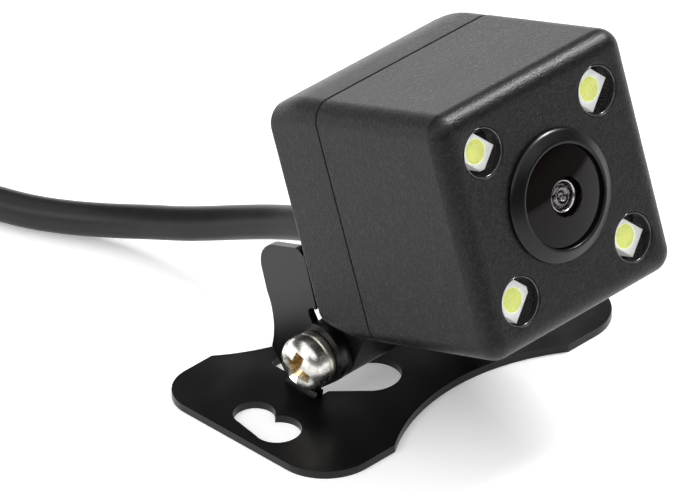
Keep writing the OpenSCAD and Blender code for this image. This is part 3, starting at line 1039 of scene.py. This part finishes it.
@dataclass
class Plug:
    """The round threaded connector on the end of the lead."""

    x: float = 2.0
    y: float = 112.0
    z: float = 5.6
    grip_r: float = 5.15
    grip_middle: float = 23.5
    rib_r: float = 0.45
    rib_scale: Point3 = (8.8, 0.75, 0.75)
    ribs: int = 18

    def place(self) -> Matrix:
        """From a shape turned about Y to the plug's line along X."""
        return Matrix.Translation((self.x, self.y, self.z)) @ Matrix.Rotation(math.radians(-90), 4, "Z")

    def nut(self, rack: Rack) -> list[bpy.types.Object]:
        """The coupling nut, with ribs set round its grip."""
        core = [(4.0, 19.1), (self.grip_r - 0.25, 19.1), (self.grip_r, 19.4), (self.grip_r, 27.6),
                (self.grip_r - 0.25, 27.9), (4.6, 27.9), (4.6, 20.6), (4.0, 20.6), (4.0, 19.1)]
        grip = turned("coupling_nut", core, rack.nylon, self.place())
        rig = Rig("grip_ribs")
        for name, kind in (("Count", "Int"), ("Rib Radius", "Float"), ("Reach", "Float")):
            rig.value(name, "NodeSocket" + kind)
        start = rig.start()
        count, rib_r, reach = (start.outputs[name] for name in ("Count", "Rib Radius", "Reach"))
        ring = rig.node("GeometryNodeMeshCircle", {"Vertices": count, "Radius": reach})
        upright = rig.node("GeometryNodeTransform", {
            "Geometry": ring.outputs[0], "Rotation": (0.0, math.pi / 2, 0.0)})
        moved = rig.node("GeometryNodeTransform", {
            "Geometry": upright.outputs[0],
            "Translation": ((self.x + self.grip_middle) * MM, self.y * MM, self.z * MM)})
        rib = rig.node("GeometryNodeMeshUVSphere", {"Segments": 16, "Rings": 10, "Radius": rib_r})
        long_rib = rig.node("GeometryNodeTransform", {"Geometry": rib.outputs[0], "Scale": self.rib_scale})
        placed = rig.node("GeometryNodeInstanceOnPoints", {
            "Points": moved.outputs[0], "Instance": long_rib.outputs[0]})
        rig.finish(placed.outputs[0], rack.nylon)
        values = {"Count": self.ribs, "Rib Radius": self.rib_r * MM, "Reach": self.grip_r * MM}
        ribs = rig.run("coupling_ribs", points_mesh("coupling_ribs", [(0, 0, 0)]), values)
        return [attach(piece, "coupling_nut", ["plug_nut"], "nut_plastic") for piece in (grip, ribs)]

    def build(self, rack: Rack) -> list[bpy.types.Object]:
        """Make the plug and return the pieces that are on the lead."""
        profiles = [
            ("plug_body_shell", [
                (0, 0), (2.3, 0), (2.5, 3), (2.2, 3.3), (2.3, 4), (2.8, 4.3), (3, 6.5), (2.6, 6.8),
                (2.7, 7.5), (3.4, 7.8), (4.9, 10.5), (4.9, 18.8), (3.9, 18.8), (3.9, 26),
                (3.2, 26), (3.2, 22), (0, 22)],
             0.2, rack.rubber, "plug_body", "lead_rubber"),
            ("plug_insert_disc", [(0, 22), (3.15, 22), (3.15, 23.5), (0, 23.5)],
             0.2, rack.nylon, "plug_insert", "ring_plastic"),
            ("plug_seal_ring", [(3.95, 21), (4.3, 21.1), (4.35, 21.4), (4.3, 21.7), (3.95, 21.8), (3.95, 21)],
             0.1, rack.red_seal, "plug_seal", "seal_red"),
        ]
        fixed = [
            attach(turned(name, eased(profile, soft), material, self.place()), "bracket", [node], slot)
            for name, profile, soft, material, node, slot in profiles
        ]
        dress("plug_pins", rack.gold)
        return [*fixed, frame["nodes"]["plug_pins"], *self.nut(rack)]


def dress(node: str, material: bpy.types.Material) -> None:
    """Give a CAD node that stays a detailed material."""
    shown = frame["nodes"][node]
    for slot in shown.material_slots:
        slot.material = material
    LOG.info("%s keeps its own mesh", node)


# ---------------------------------------------------------------- the housing


@dataclass
class Housing:
    """The tilting housing: front shell, rear cover, lens and lamps, in its own centred axes."""

    width: float = 24.2
    height: float = 24.4
    depth: float = 24.0
    edge_r: float = 2.1
    front_r: float = 1.8
    wall: float = 1.6
    face_t: float = 2.0
    cover_d: float = 7.1
    seam_gap: float = 0.15
    crown_start: float = 2.6
    rear_drop: float = 1.1
    lamp_at: float = 7.4
    lamp_r: float = 2.4
    barrel_r: float = 5.4
    glass_r: float = 4.8
    tilt: float = 17.5
    hinge_back: float = 2.9
    hinge_down: float = 2.4
    lug_r: float = 2.9
    lug_half: float = 9.3
    hole_r: float = 1.55
    back_wall: float = 1.5
    boot_z: float = -6.8
    boot_len: float = 11.0
    boot_hole_r: float = 2.42
    rim: float = 0.14

    def __post_init__(self) -> None:
        """Work out what follows from the sizes and from the hinge's place in the frame."""
        joint = next(j for j in frame["joints"] if j["name"] == "camera_tilt")
        self.hinge = Vector(joint["pos_m"]) / MM
        self.face = -self.depth / 2
        self.back = self.depth / 2
        self.seam = self.back - self.cover_d
        to_hinge = Matrix.Translation((0, -self.back - self.hinge_back, self.height / 2 + self.hinge_down))
        turn = Matrix.Rotation(math.radians(-self.tilt), 4, "X")
        self.place = Matrix.Translation(self.hinge) @ turn @ to_hinge

    def section(self, depth: float, trim_x: float, trim_z: float, radius: float) -> list[Point3]:
        """One rounded rectangle across the housing."""
        flat = rounded(self.width - 2 * trim_x, self.height - 2 * trim_z, max(radius, 0.25), 14)
        return [(x, depth, z) for x, z in flat]

    def hole(self, shell: Shell, centre: Point, radius: float, front: float, back: float, steps: int
             ) -> tuple[list[bmesh.types.BMVert], list[bmesh.types.BMVert]]:
        """The wall of a round hole with an eased front rim; returns its first and last rings."""
        rings = []
        for i in range(4):
            a = math.pi / 2 * i / 3
            grown = radius + self.rim * (1 - math.sin(a))
            rings.append((grown, front + self.rim * (1 - math.cos(a))))
        rings.append((radius, back))
        stack = shell.stack([[(x, y, z) for x, z in circle(r, steps, centre)] for r, y in rings])
        return stack[0], stack[-1]

    def lens_level(self) -> Point3:
        """The level across the housing that holds the lens axis: its normal's Y and Z, and its height."""
        up = self.place.to_3x3() @ Vector((0, 0, 1))
        return up.y, up.z, up.dot(self.place @ Vector((0, 0, 0))) * MM

    def lamp_centres(self) -> list[Point]:
        """Where the four lamps are."""
        return [(sx * self.lamp_at, sz * self.lamp_at) for sx in (-1, 1) for sz in (-1, 1)]

    def front_shell(self, rack: Rack) -> None:
        """The front housing: a square tray with rounded edges, a lens hole and four lamp holes."""
        shell = Shell()
        rings = []
        for i in range(9):
            a = math.pi / 2 * (1 - i / 8)
            trim = self.front_r * (1 - math.cos(a))
            depth = self.face + self.front_r * (1 - math.sin(a))
            rings.append(self.section(depth, trim, trim, self.edge_r - trim))
        rings += [
            self.section(self.seam - 0.12, 0, 0, self.edge_r),
            self.section(self.seam - 0.03, 0.04, 0.04, self.edge_r - 0.04),
            self.section(self.seam, 0.13, 0.13, self.edge_r - 0.13),
            self.section(self.seam, self.wall, self.wall, self.edge_r - 1),
            self.section(self.face + self.face_t, self.wall, self.wall, self.edge_r - 1),
        ]
        stack = shell.stack(rings)
        sizes = [(centre, self.lamp_r, 56) for centre in self.lamp_centres()]
        sizes.append(((0, 0), self.barrel_r + 0.05, 96))
        holes = [self.hole(shell, at, r, self.face, self.face + self.face_t, steps) for at, r, steps in sizes]
        shell.cap(stack[0], *(h[0] for h in holes))
        shell.cap(stack[-1], *(h[1] for h in holes))
        piece = shell.piece("front_shell", rack.housing, self.place)
        attach(piece, "camera", ["front_housing"], "housing_plastic")

    def crown(self, back: float) -> float:
        """How far the top and bottom are drawn in, so far behind the seam."""
        return self.rear_drop * (max(0.0, back - self.crown_start) / (self.cover_d - self.crown_start)) ** 2

    def rear_shell(self, rack: Rack) -> None:
        """The rear cover: crowned top and bottom, softened back edges, and the hinge arm below."""
        shell = Shell()
        start = self.seam + self.seam_gap
        rings = [
            self.section(start, 0.15, 0.12, self.edge_r - 0.12),
            self.section(start + 0.03, 0.08, 0.04, self.edge_r - 0.04),
            self.section(start + 0.12, 0.05, 0.0, self.edge_r),
        ]
        soft = 0.45
        last = self.cover_d - soft
        for i in range(9):
            back = self.crown_start + (last - self.crown_start) * i / 8
            rings.append(self.section(self.seam + back, 0.05 + 0.04 * i / 8, self.crown(back), self.edge_r))
        for i in range(1, 6):
            a = math.pi / 2 * i / 5
            trim = soft * (1 - math.cos(a))
            rings.append(self.section(self.back - soft + soft * math.sin(a), 0.09 + trim,
                                      self.crown(last) + trim, self.edge_r - trim))
        stack = shell.stack(rings)
        inner_x, inner_z, inside_r = 1.7, 2.6, 1.0
        inner = shell.stack([
            self.section(y, inner_x, inner_z, inside_r) for y in (start, self.back - self.back_wall)])
        shell.bridge(stack[0], inner[0])
        outer_hole, inner_hole = self.boot_hole(shell)
        shell.cap(stack[-1], outer_hole)
        shell.cap(inner[-1], inner_hole)
        under = -self.height / 2
        centre = (self.back + self.hinge_back, under - self.hinge_down)
        arm = [(8, under + 1.2), (self.back - 1.4, under + 2.3), (self.back, under + 2.2),
               *arc(centre, self.lug_r, 61, -135, 40)]
        hole = circle(self.hole_r, 48, centre)
        shell.prism(arm[::-1], [hole], -self.lug_half, self.lug_half, lambda y, z, x: (x, y, z), 0.18)
        piece = shell.piece("rear_shell", rack.housing, self.place)
        attach(piece, "camera", ["rear_cover"], "housing_plastic")

    def boot_hole(self, shell: Shell) -> tuple[list[bmesh.types.BMVert], list[bmesh.types.BMVert]]:
        """The hole that the strain relief fills; returns its outer and inner rings."""
        flat = circle(self.boot_hole_r, 48, (0, self.boot_z))
        rings = [[(x, y, z) for x, z in flat] for y in (self.back, self.back - self.back_wall)]
        stack = shell.stack(rings)
        return stack[0], stack[-1]

    def lens(self, rack: Rack) -> None:
        """The lens: its ring, stepped barrel, dark baffle, inner elements and domed front glass."""
        f = self.face
        dome = [(self.glass_r * i / 24, f - 0.6 - 0.55 * (1 - (i / 24) ** 2)) for i in range(25)]
        under = [(r * 0.95, y + 0.3) for r, y in reversed(dome)]
        bulge = eased([
            (0, f - 0.02), (0.3, f - 0.06), (0.5, f - 0.38), (0.85, f - 0.5), (1.1, f - 0.3),
            (1.33, f)], 0.3, 5)
        parts = [
            ("lens_surround", eased([
                (self.barrel_r, f + 0.6), (4.86, f + 0.6), (4.86, f - 0.55), (4.9, f - 0.9), (5.02, f - 0.95),
                (5.2, f - 0.94), (6.12, f - 0.46), (6.28, f - 0.3), (6.3, f - 0.02),
                (self.barrel_r, f - 0.02), (self.barrel_r, f + 0.6)], 0.07),
             rack.ring, 128, 30, "lens_ring", "ring_plastic"),
            ("front_dome", [*dome, (self.glass_r, f + 0.62), (self.glass_r * 0.95, f + 0.62), *under],
             rack.glass, 96, 50, "front_glass", "lens_glass"),
            ("stepped_barrel", eased([
                (4.5, f + 0.64), (4.3, f + 0.5), (3.0, f + 0.3), (3.0, f + 0.2), (1.62, f + 0.02),
                (1.62, f + 5.2), (2.1, f + 5.6), (2.1, -6.0), (2.6, -4.0), (2.6, f + 10.5),
                (self.barrel_r, f + 10.5), (self.barrel_r, f + 0.64), (4.5, f + 0.64)], 0.06),
             rack.barrel, 96, 30, "lens_barrel", "ring_plastic"),
            ("element_rim", eased([
                (1.36, f - 0.45), (1.44, f - 0.56), (1.52, f - 0.56), (1.62, f - 0.4), (1.62, f + 2.4),
                (1.34, f + 2.4), (1.34, f - 0.4), (1.36, f - 0.45)], 0.05),
             rack.inner_rim, 72, 30, "rear_lens", "ring_plastic"),
            ("second_element", [*bulge, (1.33, f + 1.0), (0, f + 1.0)],
             rack.element, 72, 50, "rear_lens", "lens_glass"),
            ("rear_element", [(0, -6.4), (1.0, -6.34), (2.03, -6.1), (2.03, -5.1), (1.0, -5.02), (0, -5.0)],
             rack.element, 64, 50, "rear_lens", "lens_glass"),
        ]
        for name, profile, material, steps, sharp, node, slot in parts:
            attach(turned(name, profile, material, self.place, steps, sharp), "camera", [node], slot)

    def lamps(self, rack: Rack) -> None:
        """The four lamps on the diagonals: packages, phosphor, clear windows and their polished edges."""
        f = self.face
        case = Shell()
        outline = [(-1.4, -1.75), (1.4, -1.75), (1.4, 1.35), (1.0, 1.75), (-1.4, 1.75)]
        well = circle(1.18, 40)[::-1]
        case.prism(outline, [well], f + 1.0, f + 2.85, lambda x, z, y: (x, y, z), 0.08)
        seed = case.piece("lamp_case_seed", rack.white)
        self.on_diagonals("lamp_cases", seed, rack.white, "lamp_packages", "lamp_white")
        gel = [(0, f + 1.04), (0.8, f + 1.05), (1.1, f + 1.08), (1.17, f + 1.14), (1.17, f + 2.4),
               (0, f + 2.4)]
        pane = eased([(0, f + 0.38), (2.37, f + 0.38), (2.37, f + 0.72), (0, f + 0.72)], 0.06)
        edge = [(2.3 + 0.075 * math.cos(i * math.pi / 6), f + 0.12 + 0.075 * math.sin(i * math.pi / 6))
                for i in range(12)]
        for name, profile, steps, material, node, slot in (
            ("lamp_gels", gel, 40, rack.phosphor, "lamp_phosphors", "lamp_yellow"),
            ("lamp_panes", pane, 56, rack.window, "lamp_windows", "window_clear"),
            ("window_edges", [*edge, edge[0]], 72, rack.window_edge, "lamp_windows", "window_clear"),
        ):
            seed = turned(name + "_seed", profile, material, steps=steps)
            self.on_diagonals(name, seed, material, node, slot)

    def on_diagonals(
        self, name: str, seed: bpy.types.Object, material: bpy.types.Material, node: str, slot: str
    ) -> None:
        """Set copies of a seed piece at the four lamp places, each turned to its diagonal.

        Args:
            name: the new piece's name.
            seed: the shape to repeat, about its own Y axis; it is removed.
            material: what it wears.
            node: the CAD node that the piece stands for.
            slot: the record's material slot; not used.
        """
        rig = Rig("on_diagonals")
        rig.value("Seed", "NodeSocketObject")
        rig.value("Reach", "NodeSocketFloat")
        start = rig.start()
        square = rig.node("GeometryNodeMeshCircle", {"Vertices": 4, "Radius": start.outputs["Reach"]})
        upright = rig.node("GeometryNodeTransform", {
            "Geometry": square.outputs[0], "Rotation": (math.pi / 2, math.pi / 4, 0.0)})
        info = rig.node("GeometryNodeObjectInfo", {"Object": start.outputs["Seed"]})
        index = rig.node("GeometryNodeInputIndex", {})
        turn = rig.node("ShaderNodeMath", {0: index.outputs[0], 1: -math.pi / 2}, operation="MULTIPLY")
        turn = rig.node("ShaderNodeMath", {0: turn.outputs[0], 1: math.pi / 4}, operation="SUBTRACT")
        spin = rig.node("ShaderNodeCombineXYZ", {1: turn.outputs[0]})
        placed = rig.node("GeometryNodeInstanceOnPoints", {
            "Points": upright.outputs[0], "Instance": info.outputs["Geometry"], "Rotation": spin.outputs[0]})
        rig.finish(placed.outputs[0], material)
        values = {"Seed": seed, "Reach": self.lamp_at * math.sqrt(2) * MM}
        piece = rig.run(name, points_mesh(name, [(0, 0, 0)]), values)
        to_metres = Matrix.Scale(MM, 4) @ self.place @ Matrix.Scale(1 / MM, 4)
        piece.data.transform(to_metres)
        bpy.data.objects.remove(seed)
        attach(piece, "camera", [node], slot)

    def boot(self, rack: Rack) -> None:
        """The ribbed strain relief behind the cover."""
        b = self.back
        profile = [
            (0, b - 2.3), (2.9, b - 2.3), (2.9, b - 1.5), (2.4, b - 1.5), (2.4, b), (2.9, b), (2.9, b + 1.6),
            (2.4, b + 1.9), (2.4, b + 2.6), (2.7, b + 2.9), (2.6, b + 4), (2.2, b + 4.3), (2.2, b + 5),
            (2.5, b + 5.3), (2.4, b + 6.4), (2.1, b + 6.7), (2.1, b + 7.4), (2.3, b + 7.7),
            (2, b + self.boot_len), (0, b + self.boot_len)]
        place = self.place @ Matrix.Translation((0, 0, self.boot_z))
        relief = turned("strain_relief", eased(profile, 0.22), rack.rubber, place, 64)
        attach(relief, "camera", ["cable_boot"], "lead_rubber")

    def gasket(self, rack: Rack) -> None:
        """The thin seal in the seam."""
        shell = Shell()
        outline = rounded(self.width - 0.55, self.height - 0.55, self.edge_r - 0.2, 12)
        hole = rounded(self.width - 2.6, self.height - 2.6, self.edge_r - 1, 12)[::-1]
        shell.prism(outline, [hole], self.seam + 0.005, self.seam + self.seam_gap - 0.005,
                    lambda x, z, y: (x, y, z), 0.03, 2)
        attach(shell.piece("seam_seal", rack.rubber, self.place), "camera", ["seam_gasket"], "seal_rubber")

    def insides(self, rack: Rack) -> None:
        """The boards and parts inside, with softened edges."""
        for node, name, material, soft, slot in (
            ("lamp_board", "lamp_board_panel", rack.lamp_board, 0.06, "board_black"),
            ("main_board", "main_board_panel", rack.board, 0.06, "board_green"),
            ("lens_holder", "holder_block", rack.ring, 0.15, "ring_plastic"),
            ("board_socket", "socket_block", rack.cream, 0.2, "socket_cream"),
            ("wire_plug", "wire_plug_block", rack.cream, 0.15, "socket_cream"),
            ("image_sensor", "sensor_block", rack.chip, 0.08, "sensor_chip"),
            ("ir_filter", "filter_pane", rack.filter, 0.04, "filter_glass"),
        ):
            attach(softened(node, name, material, soft), "camera", [node], slot)
        dress("core_wires", rack.cores)
        dress("board_screws", rack.washer)
        dress("lens_seal", rack.rubber)

    def build(self, rack: Rack) -> None:
        """Make every piece of the housing."""
        for part in (
            self.front_shell, self.rear_shell, self.lens, self.lamps, self.boot, self.gasket, self.insides,
        ):
            part(rack)


# ---------------------------------------------------------------- bracket and hinge hardware


@dataclass
class Hardware:
    """The bracket and what clamps the housing to it, all about the hinge axis."""

    hinge: Vector
    ear_x: float = 10.2
    sheet: float = 0.8
    washer_t: float = 0.8
    screw_r: float = 1.45
    shank: float = 26.3
    play: float = 0.03
    head_r: float = 2.65
    head_side: float = 0.9
    head_dome: float = 1.25
    spring_r: float = 2.6
    hole_r: float = 1.57
    drive_turn: float = 20.0

    def about_hinge(self, x: float) -> Matrix:
        """From a shape turned about Y to the hinge axis, its +Y pointing towards -X from x."""
        return Matrix.Translation((x, self.hinge.y, self.hinge.z)) @ Matrix.Rotation(math.radians(90), 4, "Z")

    def bracket(self, rack: Rack) -> None:
        """The bent steel sheet, with its cut edges softened."""
        sheet = softened("bracket", "bent_bracket", rack.coat, 0.12, 3)
        attach(sheet, "bracket", ["bracket"], "bracket_paint")

    def screw(self, rack: Rack) -> None:
        """The clamping screw: domed head with a tapered cross recess, and its shank."""
        head_x = -self.ear_x - self.sheet - self.washer_t - self.play
        top = self.head_side + self.head_dome
        dome = [(self.head_r * math.cos(math.radians(a * 12)),
                 self.head_side + self.head_dome * math.sin(math.radians(a * 15))) for a in range(7)]
        profile = [(0, -self.shank), (self.screw_r - 0.35, -self.shank), (self.screw_r, 0.4 - self.shank),
                   (self.screw_r, 0.0), (self.head_r - 0.1, 0.0), (self.head_r, 0.12), *dome,
                   (0.3, top), (0, top)]
        head = turned("clamp_screw_head", profile, rack.plated, self.about_hinge(head_x), 96)
        cutter = self.cross_cutter(head_x - top)
        head.modifiers.clear()
        cutter.modifiers.clear()
        cut = head.modifiers.new("drive", "BOOLEAN")
        cut.operation, cut.solver, cut.object = "DIFFERENCE", "EXACT", cutter
        view = bpy.context.evaluated_depsgraph_get()
        made = bpy.data.meshes.new_from_object(head.evaluated_get(view))
        for old in (head, cutter):
            bpy.data.objects.remove(old)
        screw = add_object("clamp_screw_body", made, rack.plated, 30)
        attach(screw, "screw", ["clamp_screw"], "screw_steel")

    def cross_cutter(self, tip_x: float) -> bpy.types.Object:
        """A tapered cross whose wide end stands out of the head at tip_x."""
        shell = Shell()
        rings = []
        levels = ((-0.6, 2.05, 0.62), (0.1, 1.85, 0.54), (1.1, 0.85, 0.34), (1.4, 0.45, 0.22))
        for depth, half, thick in levels:
            arm = [(half, -thick), (half, thick), (thick, thick)]
            corners = []
            for quarter in range(4):
                a = math.radians(90 * quarter + self.drive_turn)
                c, t = math.cos(a), math.sin(a)
                corners += [(u * c - v * t, u * t + v * c) for u, v in arm]
            rings.append([(tip_x + depth, self.hinge.y + u, self.hinge.z + v) for u, v in corners])
        stack = shell.stack(rings)
        shell.cap(stack[0])
        shell.cap(stack[-1])
        return shell.piece("drive_cutter", frame["nodes"]["clamp_screw"].data.materials[0])

    def spring_washer(self, rack: Rack) -> None:
        """The split spring washer, its two ends a hair apart."""
        inner, outer, gap, steps, soft = self.hole_r, self.spring_r, 7.0, 90, 0.14
        shell = Shell()
        section = rounded(outer - inner, self.washer_t, soft, 3)
        middle = (outer + inner) / 2
        x0 = -self.ear_x - self.sheet - self.washer_t / 2
        rings = []
        for i in range(steps + 1):
            a = math.radians(240 + gap / 2 + (360 - gap) * i / steps)
            y, z = math.cos(a), math.sin(a)
            rings.append([(x0 + t, self.hinge.y + (middle + r) * y, self.hinge.z + (middle + r) * z)
                          for r, t in section])
        stack = shell.stack(rings)
        shell.bm.faces.new(stack[0])
        shell.bm.faces.new(stack[-1])
        attach(shell.piece("split_washer", rack.washer), "bracket", ["spring_washer"], "screw_steel")

    def build(self, rack: Rack) -> None:
        """Make the bracket and all the hinge hardware."""
        self.bracket(rack)
        self.screw(rack)
        self.spring_washer(rack)
        for node, name, material, soft, body, slot in (
            ("flat_washer", "plain_washer", rack.washer, 0.08, "bracket", "screw_steel"),
            ("lock_nut", "hex_nut", rack.washer, 0.16, "bracket", "screw_steel"),
            ("friction_washers", "fibre_washers", rack.rubber, 0.1, "camera", "washer_black"),
            ("cable_tie", "lead_tie", rack.nylon, 0.08, "bracket", "tie_plastic"),
        ):
            attach(softened(node, name, material, soft), body, [node], slot)


# ---------------------------------------------------------------- main


def main() -> None:
    """Build the object and the studio, in order."""
    logging.basicConfig(level=logging.INFO, format="%(name)s: %(message)s")
    Studio().build()
    housing = Housing()
    rack = Rack(housing.hinge * MM, housing.lens_level())
    on_lead = Plug().build(rack)
    Hardware(housing.hinge).build(rack)
    Lead().build(rack, [*on_lead, bpy.data.objects["lead_tie"]])
    housing.build(rack)


if __name__ == "__main__":
    main()
